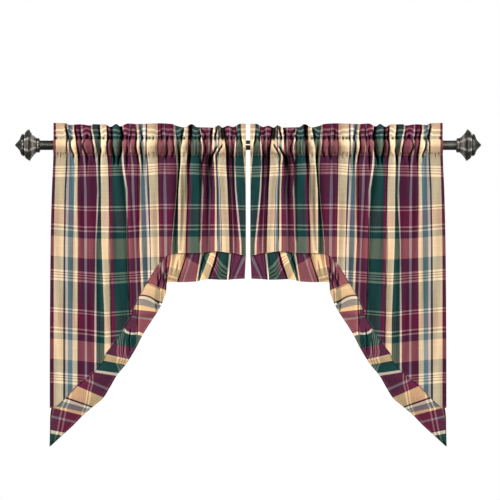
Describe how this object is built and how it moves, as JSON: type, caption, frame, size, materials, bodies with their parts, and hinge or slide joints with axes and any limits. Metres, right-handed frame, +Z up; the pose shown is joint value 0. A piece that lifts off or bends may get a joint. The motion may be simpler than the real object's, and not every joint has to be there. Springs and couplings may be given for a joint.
{
  "type": "swag and tail drape with its curtain rod",
  "caption": "Gathered plaid swag and tail panels with ruffled edges, hung by rod pockets on a round rod with faceted finials.",
  "frame": {"origin": "on the rod's axis, midway between the two panels", "axes": "+X along the rod, +Y away from the viewer towards the wall, +Z up"},
  "size_m": [1.3198, 0.0894, 0.9152],
  "materials": {
    "bronze": "dark oil-rubbed bronze paint with a low sheen",
    "plaid_cotton": "yarn-dyed cotton in a wide plaid of burgundy, dark green, cream and slate blue",
    "ruffle_cotton": "the same plaid cotton, cut crosswise and gathered"
  },
  "bodies": {
    "root": {"rod": "bronze", "collar_left": "bronze", "collar_right": "bronze", "finial_left": "bronze", "finial_right": "bronze", "panel_left": "plaid_cotton", "panel_right": "plaid_cotton", "ruffle_left": "ruffle_cotton", "ruffle_right": "ruffle_cotton"}
  },
  "joints": []
}
